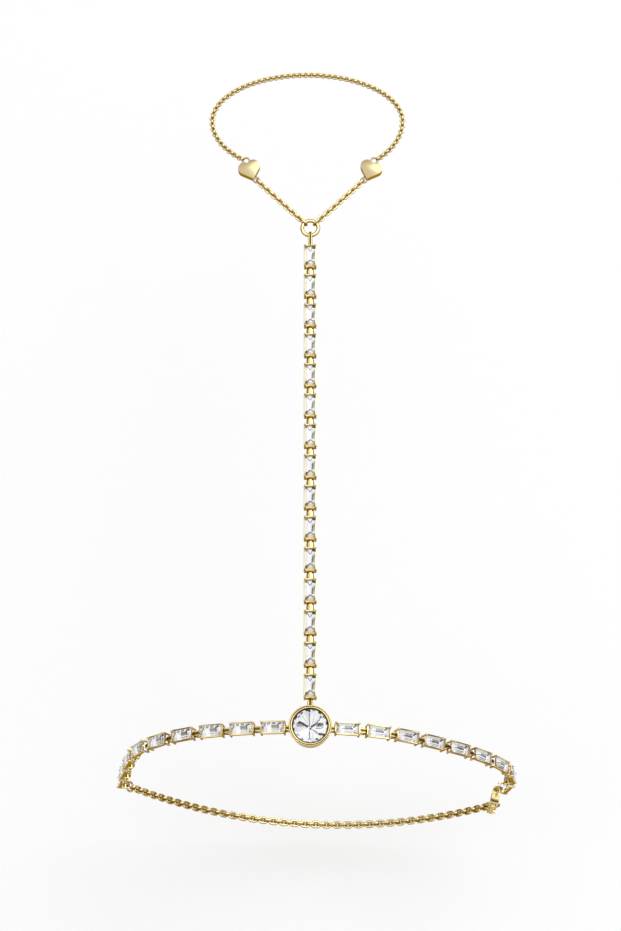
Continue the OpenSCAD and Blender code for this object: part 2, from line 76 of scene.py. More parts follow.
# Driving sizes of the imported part, as in its source, in millimetres
STONE_LENGTH = 3.8
STONE_WIDTH = 1.76
STONE_CORNER = 0.28
GIRDLE_HEIGHT = 0.1
ROUND_STONE = 6.0
ROUND_DROP = 0.5
BEZEL_HEIGHT = 2.9
BEZEL_WALL = 0.5
BEZEL_TAPER = 0.5
BEZEL_BAR_IN = 0.2
PRONG = 0.34
BAR = 0.34
RAIL_HEIGHT = 0.42
HAND_COUNT = 15
HAND_GAP = 1.4
HAND_FIRST_GAP = 1.55
WRIST_COUNT = 9
WRIST_GAP = 1.0
WRIST_FIRST_GAP = 0.45
STRAP_WIDTH = 1.0
STRAP_THICKNESS = 0.24
STRAP_ROOM = 0.13
RING_STRAP_WIDTH = 0.78 * STRAP_WIDTH
EYE_STRAP_WIDTH = 0.6 * STRAP_WIDTH
TOP_RING_WIRE = 0.68
TOP_RING_GAP = 1.9
LOOP_WIDTH = 33.6
LOOP_BACK = 9.1
LOOP_FRONT = 7.8
LOOP_SHIFT = -0.5
LOOP_TUBE = 1.0
HEART_EYE_X = 11.2481
CLEAR = 0.1
FINE_CLEAR = 0.07
SEAT_CLEAR = 0.06
RING_EASE = 0.06

# Inside of the straps, their play, and the height of the line of all bars above the bezel's back
STRAP_IN = BAR / 2 + STRAP_ROOM
SLACK = STRAP_IN - BAR / 2 - FINE_CLEAR
STRAP_OUT = STRAP_IN + STRAP_THICKNESS
LINK_LINE = STRAP_OUT + FINE_CLEAR

# A setting: its bars from its middle, and its stone's girdle above the line of bars
PRONG_OFF = (PRONG / 2 + SEAT_CLEAR) / sqrt(2) - STONE_CORNER / 2
BAR_X = STONE_LENGTH / 2 + PRONG_OFF
SETTING_LENGTH = 2 * BAR_X + PRONG
HAND_STRAP_WIDTH = STONE_WIDTH + 2 * PRONG_OFF - PRONG - 2 * FINE_CLEAR
GIRDLE_Z = STRAP_OUT + CLEAR + RAIL_HEIGHT - GIRDLE_HEIGHT

# The bezel, and the strips of settings that start from it
BEZEL_RADIUS = ROUND_STONE / 2 + SEAT_CLEAR + BEZEL_WALL
BEZEL_BAR = BEZEL_RADIUS - BEZEL_TAPER - BEZEL_WALL + BEZEL_BAR_IN
ROUND_GIRDLE_Z = BEZEL_HEIGHT - ROUND_DROP
HAND_PITCH = SETTING_LENGTH + HAND_GAP
HAND_FIRST = BEZEL_RADIUS + HAND_FIRST_GAP + SETTING_LENGTH / 2
HAND_LAST = HAND_FIRST + (HAND_COUNT - 1) * HAND_PITCH
WRIST_PITCH = SETTING_LENGTH + WRIST_GAP
WRIST_START = BEZEL_RADIUS + WRIST_FIRST_GAP - WRIST_GAP / 2

# How the wrist ring hangs, in degrees, and the fall of its settings at shares of a strip
RING_LEAN, RING_YAW = 3.0, 1.0
LEFT, RIGHT = -1, 1
FALLS = {
    LEFT: ((0, 7), (0.25, 17.5), (0.5, 43.5), (0.75, 78), (1, 83)),
    RIGHT: ((0, 7.5), (0.25, 28.5), (0.5, 37), (0.75, 55), (1, 107)),
}

# The last strap on each side, to the chain's ring or the clasp's eye: fall, width and turn
TAIL_REACH = WRIST_GAP + PRONG
TAILS = {LEFT: (95.0, RING_STRAP_WIDTH, 0.0), RIGHT: (100.5, EYE_STRAP_WIDTH, 7.5)}


class HandChainSizes(bpy.types.PropertyGroup):
    """Sizes in millimetres of the stones and the fine chain"""

    stone_length: FloatProperty(
        name="Baguette length", description="Length of a baguette stone, mm",
        default=STONE_LENGTH, min=3.4, max=4.4)
    stone_width: FloatProperty(
        name="Baguette width", description="Width of a baguette stone, mm",
        default=STONE_WIDTH, min=1.6, max=2.3)
    stone_corner: FloatProperty(
        name="Cropped corner", description="Corner cropped off a baguette, mm",
        default=STONE_CORNER, min=0.2, max=0.4)
    round_stone: FloatProperty(
        name="Round stone", description="Diameter of the centre stone, mm",
        default=ROUND_STONE, min=5.0, max=6.5)
    fine_wire: FloatProperty(
        name="Fine chain wire", description="Wire of the chain behind the hearts, mm",
        default=0.255, min=0.15, max=0.3)
    fine_link: FloatProperty(
        name="Fine chain link", description="Length of a link behind the hearts, mm",
        default=1.04, min=0.8, max=1.4)
    fine_width: FloatProperty(
        name="Fine chain width", description="Width of a link behind the hearts, mm",
        default=1.08, min=0.7, max=1.2)
    fine_depth: FloatProperty(
        name="Fine chain depth", description="Depth of the flattened wire behind the hearts, mm",
        default=0.42, min=0.2, max=0.45)
    link_facets: IntProperty(
        name="Link facets", description="Steps round a fine link",
        default=12, min=8, max=16)


class HandChainColours(bpy.types.PropertyGroup):
    """Colours of the metal, the stones and the floor"""

    edge_gold: FloatVectorProperty(
        name="Edge gold", description="Tint of gold seen at a slant",
        subtype="COLOR", default=(0.75, 0.52, 0.20), min=0, max=1)
    gold: FloatVectorProperty(
        name="Gold", description="Polished gold",
        subtype="COLOR", default=(0.95, 0.79, 0.40), min=0, max=1)
    # Painted shade: a darker copy of the polished gold, for the hand row
    shaded_setting_gold: FloatVectorProperty(
        name="Setting gold", description="Gold of the hand row",
        subtype="COLOR", default=(0.80, 0.64, 0.27), min=0, max=1)
    # Painted shade: the gold given to side walls and undersides
    shaded_gold: FloatVectorProperty(
        name="Shaded gold", description="Gold of side walls and undersides",
        subtype="COLOR", default=(0.34, 0.22, 0.052), min=0, max=1)
    pale_gold: FloatVectorProperty(
        name="Pale gold", description="Flat gold of the hearts",
        subtype="COLOR", default=(0.56, 0.465, 0.265), min=0, max=1)
    crystal: FloatVectorProperty(
        name="Crystal", description="Clear stone",
        subtype="COLOR", default=(0.97, 0.98, 1.0), min=0, max=1)
    floor: FloatVectorProperty(
        name="Floor", description="Studio floor",
        subtype="COLOR", default=(0.98, 0.99, 1.0), min=0, max=1)


class Flow:
    """A socket in a node tree. Sums and products of it add the Math nodes for them."""

    def __init__(self, sheet, socket):
        self.sheet, self.socket = sheet, socket

    def _math(self, operation, first, second):
        return self.sheet.add("ShaderNodeMath", {"operation": operation}, {0: first, 1: second})

    def __add__(self, other):
        return self._math("ADD", self, other)

    def __radd__(self, other):
        return self._math("ADD", other, self)

    def __sub__(self, other):
        return self._math("SUBTRACT", self, other)

    def __rsub__(self, other):
        return self._math("SUBTRACT", other, self)

    def __mul__(self, other):
        return self._math("MULTIPLY", self, other)

    def __rmul__(self, other):
        return self._math("MULTIPLY", other, self)


class NodeSheet:
    """Adds nodes to one material's or world's tree."""

    def __init__(self, owner):
        owner.use_nodes = True
        self.tree = owner.node_tree

    def feed(self, socket, value):
        if isinstance(value, Flow):
            self.tree.links.new(value.socket, socket)
        else:
            socket.default_value = value

    def add(self, kind, settings=None, inputs=None, output=0):
        node = self.tree.nodes.new(kind)
        for key, value in (settings or {}).items():
            if key == "stops":
                ramp = node.color_ramp.elements
                while len(ramp) < len(value):
                    ramp.new(1.0)
                for stop, (place, colour) in zip(ramp, value):
                    stop.position, stop.color = place, (*colour, 1)
            else:
                setattr(node, key, value)
        for key, value in (inputs or {}).items():
            self.feed(node.inputs[key], value)
        return Flow(self, node.outputs[output])


# Sockets of a Mix node that mixes colours
MIX_FACTOR, MIX_FIRST, MIX_SECOND, MIX_RESULT = 0, 6, 7, 2

# Noise of the finishes, in repeats to the metre, and depth of the scratches in metres
CLOUDS, GRAIN, STONE_HAZE, FOIL_HAZE, PAPER_HAZE = 420.0, 5200.0, 900.0, 1500.0, 6.0
SCRATCH_DEPTH = 0.00002


def shade(colour, share):
    """The colour darkened to a share of its light."""
    return [share * c for c in colour]


class Finish(NodeSheet):
    """One material with its Principled shader."""

    def __init__(self, name, **constants):
        self.material = bpy.data.materials.new(name)
        super().__init__(self.material)
        self.shader = self.tree.nodes["Principled BSDF"]
        for socket, value in constants.items():
            self.shader.inputs[socket.replace("_", " ")].default_value = value

    def set(self, socket, value):
        self.feed(self.shader.inputs[socket], value)

    def noise(self, scale, detail=2.0):
        place = self.add("ShaderNodeTexCoord", output="Object")
        inputs = {"Vector": place, "Scale": scale, "Detail": detail}
        return self.add("ShaderNodeTexNoise", {"noise_dimensions": "3D"}, inputs)

    def painted_light_mask(self):
        """Mask of painted light and shade: zero on side walls and undersides, one on faces that look up.
        """
        normal = self.add("ShaderNodeNewGeometry", output="Normal")
        height = self.add("ShaderNodeSeparateXYZ", None, {0: normal}, "Z")
        inputs = {"Value": height, "From Min": 0.25, "From Max": 0.85}
        return self.add("ShaderNodeMapRange", {"clamp": True}, inputs)

    def mix(self, factor, first, second, blend="MIX"):
        settings = {"data_type": "RGBA", "blend_type": blend}
        inputs = {MIX_FACTOR: factor, MIX_FIRST: first, MIX_SECOND: second}
        return self.add("ShaderNodeMix", settings, inputs, MIX_RESULT)

    def between(self, mask, low, high):
        """One plain colour where the mask is zero, the other where it is one."""
        return self.mix(mask, (*low, 1), (*high, 1))


def polished_metal(name, light, deep, edge, roughness, wear=0.06):
    """Plated metal with painted light on faces that look up and painted shade on side walls and
    undersides, a cloudy polish and very fine scratches.
    """
    finish = Finish(name, Metallic=1.0, Specular_Tint=(*edge, 1.0))
    clouds = finish.noise(CLOUDS)
    grain = finish.noise(GRAIN, 3.0)
    # Painted shade: the deep colour on side walls and undersides, the light colour on faces that look up
    finish.set("Base Color", finish.between(finish.painted_light_mask() * (clouds * 0.2 + 0.9), deep, light))
    finish.set("Roughness", (clouds - 0.5) * wear + (grain - 0.5) * wear + roughness)
    scratches = {"Strength": 0.06, "Distance": SCRATCH_DEPTH, "Height": grain}
    finish.set("Normal", finish.add("ShaderNodeBump", None, scratches))


def clear_stone(name, colour):
    """Glass-clear crown of a cut stone, with a trace of haze."""
    finish = Finish(name, Transmission_Weight=1.0, IOR=1.62)
    haze = finish.noise(STONE_HAZE)
    finish.set("Base Color", finish.between(haze, shade(colour, 0.97), colour))
    finish.set("Roughness", haze * 0.015)


def painted_back_facets(name, colour):
    """Back facets painted with reflections and shade, each in the colour its cut was given, glowing a
    little as painted light.
    """
    # The faint emission is painted light: the back facets glow though they are no lamp
    finish = Finish(name, Metallic=0.15, Roughness=0.2, Emission_Strength=0.4)
    settings = {"attribute_type": "GEOMETRY", "attribute_name": "tone"}
    tone = finish.add("ShaderNodeAttribute", settings, output="Color")
    foil = finish.between(finish.noise(FOIL_HAZE), shade(colour, 0.93), colour)
    tint = finish.mix(1.0, tone, foil, "MULTIPLY")
    finish.set("Base Color", tint)
    finish.set("Emission Color", tint)


def finishes():
    """The materials, made once."""
    have = bpy.data.materials
    if "Polished gold" not in have:
        colours = bpy.context.scene.hand_chain_colours
        gold, deep, edge = colours.gold, colours.shaded_gold, colours.edge_gold
        # Each metal gets its first colour where faces look up and a darker second one as painted shade
        # on side walls; the clasp's painted shade is its own gold darkened
        polished_metal("Polished gold", gold, deep, edge, 0.11)
        polished_metal("Setting gold", colours.shaded_setting_gold, deep, edge, 0.13)
        polished_metal("Clasp gold", gold, shade(gold, 0.66), edge, 0.2)
        polished_metal("Heart gold", colours.pale_gold, deep, edge, 0.26, 0.04)
        # Painted shade for the strap grooves and the bezel's inside: the shaded gold darkened further
        polished_metal("Shaded recess gold", shade(deep, 0.6), shade(deep, 0.25), edge, 0.35)
        clear_stone("Clear crystal", colours.crystal)
        painted_back_facets("Painted facet reflections", colours.crystal)
    return have


def mesh_piece(name, bm, materials, replaced, body="bracelet", smooth=True, unit=MM):
    """Turns a bmesh, in millimetres unless told otherwise, into a piece that rides on its body."""
    bmesh.ops.scale(bm, vec=(unit, unit, unit), verts=bm.verts)
    mesh = bpy.data.meshes.new(name)
    bm.to_mesh(mesh)
    bm.free()
    for material in materials:
        mesh.materials.append(material)
    if smooth:
        mesh.shade_smooth()
    else:
        mesh.shade_flat()
    piece = bpy.data.objects.new(name, mesh)
    bpy.context.scene.collection.objects.link(piece)
    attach(piece, body)
    if replaced:
        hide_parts(*replaced)


def add_copies(bm, shape, places):
    """Joins a copy of a small bmesh for each place matrix, and frees that small one."""
    one = bpy.data.meshes.new("one copy")
    shape.to_mesh(one)
    shape.free()
    for place in places:
        before = len(bm.verts)
        bm.from_mesh(one)
        bm.verts.ensure_lookup_table()
        bmesh.ops.transform(bm, matrix=place, verts=bm.verts[before:])
    bpy.data.meshes.remove(one)


def turned(angle, axis):
    return Matrix.Rotation(radians(angle), 4, axis)


def down(angle):
    """Direction in the plane of the wrist ring, outwards and that many degrees below level."""
    return Vector((cos(radians(angle)), -sin(radians(angle))))


def fall(side, share):
    """Degrees below level of the setting at that share of a wrist strip."""
    table = FALLS[side]
    for (s0, a0), (s1, a1) in zip(table, table[1:]):
        if share <= s1:
            return a0 + (a1 - a0) * (share - s0) / (s1 - s0)
    return table[-1][1]


def hand_place(y):
    """Place on the hand row's line of bars, with X along the row."""
    return Matrix.Translation((0, y, LINK_LINE)) @ turned(90, "Z")


def ring_place(side, u, v, angle):
    """Place in the plane of the wrist ring, outwards and up, turned by its fall."""
    ring = turned(-RING_YAW, "Z") @ turned(-RING_LEAN, "X")
    return ring @ Matrix.Translation((side * u, 0, v)) @ turned(side * angle, "Y")


def wrist_strip(side):
    """Middle of each setting in the plane of the wrist ring, with its fall."""
    u, v = WRIST_START, LINK_LINE
    strip = []
    for i in range(WRIST_COUNT):
        angle = fall(side, i / (WRIST_COUNT - 1))
        du = WRIST_PITCH * cos(radians(angle))
        dv = -WRIST_PITCH * sin(radians(angle))
        strip.append((u + du / 2, v + dv / 2, angle))
        u, v = u + du, v + dv
    return strip


def wrist_bars(side):
    """Near and far bar of each wrist setting, in the plane of the wrist ring."""
    bars = []
    for u, v, angle in wrist_strip(side):
        middle, half = Vector((u, v)), BAR_X * down(angle)
        bars.append((middle - half, middle + half))
    return bars


# Colours painted on the back facets as reflections and shade
WHITE, PALE, GREY = (0.98, 0.98, 0.98), (0.8, 0.8, 0.79), (0.42, 0.41, 0.40)
SMOKE, DARK, CLOUDY = (0.13, 0.125, 0.125), (0.02, 0.018, 0.018), (0.30, 0.28, 0.25)
STRAW, AMBER, UMBER = (0.8, 0.66, 0.38), (0.35, 0.22, 0.07), (0.06, 0.04, 0.02)

# Crown, depth and table of the round stone, as shares of its diameter and, the table, of its radius
ROUND_CROWN, ROUND_DEPTH, ROUND_TABLE = 0.125, 0.36, 0.56
# Slopes of its star and upper facets, as shares of the main facets' slope
STAR_SHARE, UPPER_SHARE = 0.6, 1.3
# How much steeper the lower and the outermost back facets are than the main ones, in degrees
LOWER_MORE, OUTER_MORE = 0.9, 14
# Where the upper and lower facets and the outermost ones start, as shares of its radius
FACET_REACH, OUTER_REACH = 0.985, 0.93
# How much deeper than the round stone its blank is, in millimetres
BLANK_SPARE = 0.2

# Crown and depth of a baguette, and how far in its second crown step starts, in millimetres
CROWN_HEIGHT, BACK_DEPTH, CROWN_STEP = 0.4, 0.75, 0.11
# Slopes in degrees: two crown steps, cropped corners of the back, three steps of ends and of sides
CROWN_SLOPES, CORNER_SLOPE = (55, 34), 46
END_STEPS, SIDE_STEPS = (47, 32, 22), (54, 44, 31)

# Painted reflection and shade colours of the three back steps at 0, 90, 180 and 270 degrees, outermost
# first
PAINTED_TONES_HAND = (STRAW, WHITE, WHITE, STRAW, WHITE, WHITE, STRAW, STRAW, PALE, STRAW, WHITE, PALE)
PAINTED_TONES_LEFT = (AMBER, WHITE, PALE, WHITE, WHITE, WHITE, STRAW, PALE, WHITE, STRAW, WHITE, WHITE)
PAINTED_TONES_RIGHT = (AMBER, PALE, WHITE, AMBER, PALE, WHITE, AMBER, PALE, WHITE, STRAW, PALE, WHITE)

# Painted reflections and shade on the back facets, as strokes from the stone's middle in millimetres:
# the stroke's two ends, its width and its colour
PAINTED_REFLECTIONS_HAND = (
    (-0.55, -0.34, 0.45, -0.42, 0.26, SMOKE), (0.4, -0.42, 1.2, -0.8, 0.2, SMOKE),
    (1.7, 0.75, 1.7, -0.75, 0.13, DARK), (1.52, -0.3, 1.52, -0.75, 0.24, DARK),
    (1.6, 0.5, 0.95, 0.04, 0.13, SMOKE), (1.55, -0.4, 0.95, 0.0, 0.13, SMOKE),
    (-1.6, 0.8, -0.65, 0.02, 0.22, UMBER), (-0.65, 0.0, -1.15, -0.55, 0.15, UMBER),
    (-1.2, -0.5, -1.7, -0.72, 0.24, AMBER), (-1.78, 0.75, -1.78, -0.4, 0.13, UMBER))
PAINTED_REFLECTIONS_LEFT = (
    (-0.15, 0.16, 0.85, 0.16, 0.62, CLOUDY), (0.88, -0.2, 0.88, 0.5, 0.13, DARK),
    (-0.2, -0.1, -0.2, 0.45, 0.1, SMOKE), (0.7, 0.5, 1.35, 0.66, 0.16, DARK),
    (-0.95, 0.6, -0.45, 0.62, 0.14, SMOKE), (-0.15, 0.63, 0.45, 0.63, 0.14, SMOKE),
    (-0.4, -0.6, 0.3, -0.6, 0.1, AMBER), (-1.2, 0.4, -1.05, -0.5, 0.1, GREY),
    (1.15, -0.7, 1.55, 0.1, 0.18, AMBER), (-1.62, -0.1, -1.25, 0.7, 0.14, UMBER),
    (1.45, 0.2, 1.75, 0.6, 0.14, UMBER), (-1.75, -0.6, -1.5, -0.1, 0.12, AMBER))
PAINTED_REFLECTIONS_RIGHT = (
    (-0.5, 0.35, 0.8, 0.35, 0.28, GREY), (-0.95, 0.06, -0.5, 0.06, 0.14, SMOKE),
    (-0.5, 0.05, 0.9, 0.05, 0.28, DARK), (-1.2, 0.76, 1.05, 0.76, 0.1, SMOKE),
    (1.0, 0.3, 1.45, 0.74, 0.24, UMBER), (1.1, -0.2, 1.55, -0.64, 0.14, AMBER),
    (-1.6, -0.6, -1.45, 0.1, 0.15, AMBER), (-1.3, 0.25, -1.55, 0.65, 0.13, UMBER),
    (-0.1, -0.6, 1.2, -0.6, 0.14, UMBER))
PAINTED_REFLECTIONS_ROUND = (
    (-0.1, 0.1, -0.1, 2.15, 0.14, SMOKE), (-0.15, 0.2, -1.15, 1.6, 0.07, GREY),
    (0.2, 0.3, 0.75, 1.9, 0.07, GREY), (-0.12, 2.3, -0.12, 2.8, 0.34, DARK),
    (-2.05, 0.4, -1.1, 0.36, 0.66, GREY), (-0.35, 0.12, -1.75, 0.8, 0.4, DARK),
    (0.1, 0.1, 1.3, 0.72, 0.3, DARK), (1.1, 0.7, 1.7, 1.6, 0.16, SMOKE),
    (1.0, 0.3, 1.9, 0.36, 0.66, GREY), (1.2, 0.36, 1.9, 0.42, 0.42, DARK),
    (0.45, -0.5, 2.05, -1.3, 0.16, SMOKE), (1.15, -0.95, 2.15, -1.35, 0.44, DARK),
    (0.85, -0.3, 2.0, -0.12, 0.13, SMOKE), (-0.12, -0.5, -0.12, -1.7, 0.17, SMOKE),
    (-0.4, -1.9, 0.15, -1.9, 0.36, GREY), (-2.0, -1.1, -1.65, -1.4, 0.22, DARK),
    (-1.3, -1.8, -1.05, -2.15, 0.26, DARK), (-2.45, 1.1, -2.2, 1.3, 0.28, DARK),
    (-1.85, 1.4, -1.6, 1.8, 0.22, DARK), (-1.35, 1.95, -1.15, 2.35, 0.2, DARK),
    (1.5, 1.4, 1.75, 1.65, 0.24, DARK), (1.95, 1.45, 2.15, 1.65, 0.2, DARK),
    (0.9, -1.85, 1.2, -2.2, 0.3, DARK), (-0.15, -0.14, 0.2, -0.24, 0.36, DARK))


def blank(bm, steps, radius, low, high):
    """Round or square blank to grind a stone from, with a layer of painted reflections, white to start.
    """
    bmesh.ops.create_cone(
        bm, cap_ends=True, segments=steps, radius1=radius, radius2=radius, depth=high - low,
        matrix=Matrix.Translation((0, 0, (low + high) / 2)))
    layer = bm.faces.layers.float_color.new("tone")
    for face in bm.faces:
        face[layer] = (*WHITE, 1.0)


def toward(azimuth, reach, height=0.0):
    return Vector((reach * cos(radians(azimuth)), reach * sin(radians(azimuth)), height))


def grind(bm, tilt, azimuth, point, tone, back=False):
    """Cuts one facet, tilted from level toward an azimuth, through a point, and paints its reflection
    colour on it.
    """
    t, a = radians(tilt), radians(azimuth)
    normal = (sin(t) * cos(a), sin(t) * sin(a), -cos(t) if back else cos(t))
    made = bmesh.ops.bisect_plane(
        bm, geom=bm.verts[:] + bm.edges[:] + bm.faces[:], dist=1e-6,
        plane_co=point, plane_no=normal, clear_outer=True)
    rim = [e for e in made["geom_cut"] if isinstance(e, bmesh.types.BMEdge)]
    if len(rim) < 3:
        return
    layer = bm.faces.layers.float_color["tone"]
    for face in bmesh.ops.edgeloop_fill(bm, edges=rim)["faces"]:
        face[layer] = (*tone, 1.0)
        face.material_index = 1 if back else 0


def paint(bm, x0, y0, x1, y1, width, tone):
    """Splits the back facets along a straight stroke, seen from above, and paints it with a reflection
    or shade colour.
    """
    start, end = Vector((x0, y0, 0)), Vector((x1, y1, 0))
    along = (end - start).normalized()
    across = Vector((-along.y, along.x, 0)) * width / 2
    sides = ((start, -along), (end, along), (start + across, across), (start - across, -across))
    inside = [f for f in bm.faces if f.material_index]
    for k, (point, normal) in enumerate(sides):
        shape = {*inside, *(e for f in inside for e in f.edges), *(v for f in inside for v in f.verts)}
        bmesh.ops.bisect_plane(bm, geom=list(shape), dist=1e-6, plane_co=point, plane_no=normal)
        inside = [f for f in bm.faces if f.material_index
                  and all((f.calc_center_median() - p).dot(n) < 0 for p, n in sides[:k + 1])]
    layer = bm.faces.layers.float_color["tone"]
    for face in inside:
        face[layer] = (*tone, 1.0)


def ground_brilliant(size):
    """Round brilliant in millimetres, its girdle's lower edge at height zero."""
    r = size / 2
    crown, deep = ROUND_CROWN * size, ROUND_DEPTH * size
    bm = bmesh.new()
    blank(bm, 64, r, -deep - BLANK_SPARE, crown)
    table = ROUND_TABLE * r
    main = degrees(atan2(crown - GIRDLE_HEIGHT, r - table))
    for k in range(8):
        grind(bm, main, 45 * k, toward(45 * k, r, GIRDLE_HEIGHT), WHITE)
    for k in range(8):
        a = 45 * k + 22.5
        grind(bm, STAR_SHARE * main, a, toward(a, table * cos(radians(22.5)), crown), WHITE)
    for k in range(16):
        a = 22.5 * k + 11.25
        grind(bm, UPPER_SHARE * main, a, toward(a, FACET_REACH * r, GIRDLE_HEIGHT), WHITE)
    steep = degrees(atan2(deep, r))
    # The back facets are painted with reflections and shade: white, pale, grey and dark in turn
    for k in range(8):
        grind(bm, steep, 45 * k, toward(45 * k, r), PALE if k % 3 == 1 else WHITE, True)
    for k in range(16):
        a = 22.5 * k + 11.25
        tone = WHITE if k % 4 else PALE
        grind(bm, steep + LOWER_MORE, a, toward(a, FACET_REACH * r), tone, True)
    for k in range(32):
        a = 11.25 * k
        tone = (WHITE, DARK, WHITE, GREY)[k % 4]
        grind(bm, steep + OUTER_MORE, a, toward(a, OUTER_REACH * r), tone, True)
    for stroke in PAINTED_REFLECTIONS_ROUND:
        paint(bm, *stroke)
    return bm


def ground_baguette(sizes, painted_tones, strokes):
    """Step cut stone in millimetres, long axis along X, girdle's lower edge at height zero."""
    half_l, half_w = sizes.stone_length / 2, sizes.stone_width / 2
    corner = (half_l + half_w - sizes.stone_corner) / sqrt(2)
    ends_and_sides = [(0, half_l), (90, half_w), (180, half_l), (270, half_w)]
    around = ends_and_sides + [(a, corner) for a in (45, 135, 225, 315)]
    bm = bmesh.new()
    blank(bm, 4, 2 * half_l, -BACK_DEPTH, CROWN_HEIGHT)
    bmesh.ops.rotate(bm, verts=bm.verts, matrix=turned(45, "Z").to_3x3())
    for a, reach in around:
        grind(bm, 90, a, toward(a, reach), WHITE)
    lower, upper = CROWN_SLOPES
    upper_from = GIRDLE_HEIGHT + CROWN_STEP * tan(radians(lower))
    for a, reach in around:
        grind(bm, lower, a, toward(a, reach, GIRDLE_HEIGHT), WHITE)
        grind(bm, upper, a, toward(a, reach - CROWN_STEP, upper_from), WHITE)
    # The back steps and cropped corners are painted with reflection and shade colours
    band_depth = BACK_DEPTH / 3
    for k, (a, reach) in enumerate(ends_and_sides):
        for band, slope in enumerate(SIDE_STEPS if k % 2 else END_STEPS):
            grind(bm, slope, a, toward(a, reach, -band * band_depth), painted_tones[3 * k + band], True)
            reach -= band_depth / tan(radians(slope))
    for a, reach in around[4:]:
        grind(bm, CORNER_SLOPE, a, toward(a, reach), GREY, True)
    for stroke in strokes:
        paint(bm, *stroke)
    return bm


def stone_string(name, places, painted_tones, strokes, replaced):
    """One piece with a baguette at every place."""
    have = finishes()
    stone = ground_baguette(bpy.context.scene.hand_chain_sizes, painted_tones, strokes)
    bm = bmesh.new()
    add_copies(bm, stone, [place @ Matrix.Translation((0, 0, GIRDLE_Z)) for place in places])
    crystal = [have["Clear crystal"], have["Painted facet reflections"]]
    mesh_piece(name, bm, crystal, replaced, smooth=False)


# By the start of a gold node's name: rounding of its sharp edges in millimetres, and its finish
ROUNDING = {
    "bezel": 0.05, "hand_setting": 0.035, "left_setting": 0.035, "right_setting": 0.035,
    "heart": 0.08, "clasp": 0.1,
}
FINISHES = {"heart": "Heart gold", "clasp": "Clasp gold", "hand_": "Setting gold"}

# Angles in degrees between faces: merged as flat, rounded as an edge, and shaded as smooth
FLAT_BELOW, EDGE_ABOVE, SMOOTH_BELOW = 0.5, 35, 32

# How far the wire of a CAD chain's copy is rounded out, in millimetres
WIRE_SWELL = 0.03

# Outline of the bezel's double rim, as distances from its middle and heights in millimetres
RIM_LINE = (
    (3.02, 2.56), (3.55, 2.56), (3.56, 2.74), (3.52, 2.85), (3.44, 2.9), (3.37, 2.87), (3.33, 2.68),
    (3.29, 2.68), (3.25, 2.88), (3.16, 2.92), (3.08, 2.89), (3.03, 2.82), (2.82, 2.65), (2.94, 2.58))
# Height at which it takes over, radius of its inside painted with shade, and radii of the groove in its
# top, also painted with shade
RIM_FOOT, RIM_INSIDE, RIM_GROOVE = 2.6, 3.0, (3.27, 3.36)


def by_start(table, node, otherwise):
    """What a table says for the start of a node's name."""
    return next((value for start, value in table.items() if node.startswith(start)), otherwise)


def round_edges(bm, width):
    """Takes off the sharp edges of a merged CAD mesh."""
    bmesh.ops.dissolve_limit(
        bm, angle_limit=radians(FLAT_BELOW), verts=bm.verts, edges=bm.edges, delimit={"NORMAL"})
    sharp = [e for e in bm.edges
             if len(e.link_faces) == 2 and e.calc_face_angle(0.0) > radians(EDGE_ABOVE)]
    bmesh.ops.bevel(
        bm, geom=sharp, offset=width * MM, offset_type="OFFSET", affect="EDGES", segments=2,
        profile=0.5, material=-1, clamp_overlap=True)


def cut_rim(bm):
    """Takes off the bezel's plain rim, where the double rim stands in its place."""
    made = bmesh.ops.bisect_plane(
        bm, geom=bm.verts[:] + bm.edges[:] + bm.faces[:], dist=1e-9,
        plane_co=(0, 0, RIM_FOOT * MM), plane_no=(0, 0, 1), clear_outer=True)
    rims = [e for e in made["geom_cut"] if isinstance(e, bmesh.types.BMEdge)]
    bmesh.ops.bridge_loops(bm, edges=rims)


def swell(bm, width):
    """Moves the skin of a CAD mesh outwards."""
    bm.normal_update()
    for vert, way in [(v, v.normal.copy()) for v in bm.verts]:
        vert.co += way * width * MM


def dressed_copy(node, material, body="bracelet"):
    """A merged, smoothly shaded copy of a CAD node that stands for it, its sharp edges rounded."""
    bm = bmesh.new()
    bm.from_mesh(frame["nodes"][node].data)
    bmesh.ops.remove_doubles(bm, verts=bm.verts, dist=1e-7)
    width = by_start(ROUNDING, node, 0)
    if width:
        round_edges(bm, width)
    if node == "bezel":
        cut_rim(bm)
    if "_chain_" in node:
        swell(bm, WIRE_SWELL)
    for edge in bm.edges:
        two_faces = len(edge.link_faces) == 2
        edge.smooth = two_faces and edge.calc_face_angle(pi) < radians(SMOOTH_BELOW)
    for face in bm.faces:
        face.material_index = 0
    mesh_piece(node + "_gold", bm, [material], [node], body, unit=1.0)


def closed_loop(bm, points):
    """New vertices at the points, joined by edges into a loop."""
    verts = [bm.verts.new(point) for point in points]
    return verts + [bm.edges.new((a, b)) for a, b in zip(verts, verts[1:] + verts[:1])]


def lathe_ring(line, steps):
    """A ring turned round the Z axis from a closed line of radii and heights."""
    bm = bmesh.new()
    loop = closed_loop(bm, [(radius, 0, height) for radius, height in line])
    bmesh.ops.spin(
        bm, geom=loop, cent=(0, 0, 0), axis=(0, 0, 1), angle=2 * pi, steps=steps, use_merge=True)
    bmesh.ops.remove_doubles(bm, verts=bm.verts, dist=1e-5)
    bmesh.ops.recalc_face_normals(bm, faces=bm.faces)
    return bm


# Half a strap's section: shares of its half width, and heights above its inside in millimetres
STRAP_SECTION = ((1.0, 0.0), (1.0, 0.06), (0.9, 0.15), (0.68, 0.235), (0.4, 0.295), (0.14, 0.32))
GROOVED_SECTION = (
    (1.0, 0.0), (1.0, 0.06), (0.94, 0.17), (0.8, 0.26), (0.58, 0.3), (0.38, 0.25), (0.27, 0.12))
# Heights above a strap's inside between which its groove's floor and walls lie, painted with shade
GROOVE_FROM, GROOVE_TO = 0.03, 0.23
# How much narrower a strap is at its two ends, as a share of its width
END_TAPER = 0.42
# Steps of a strap's bends and of its straight sides
BEND_STEPS, SIDE_PARTS = 10, 4


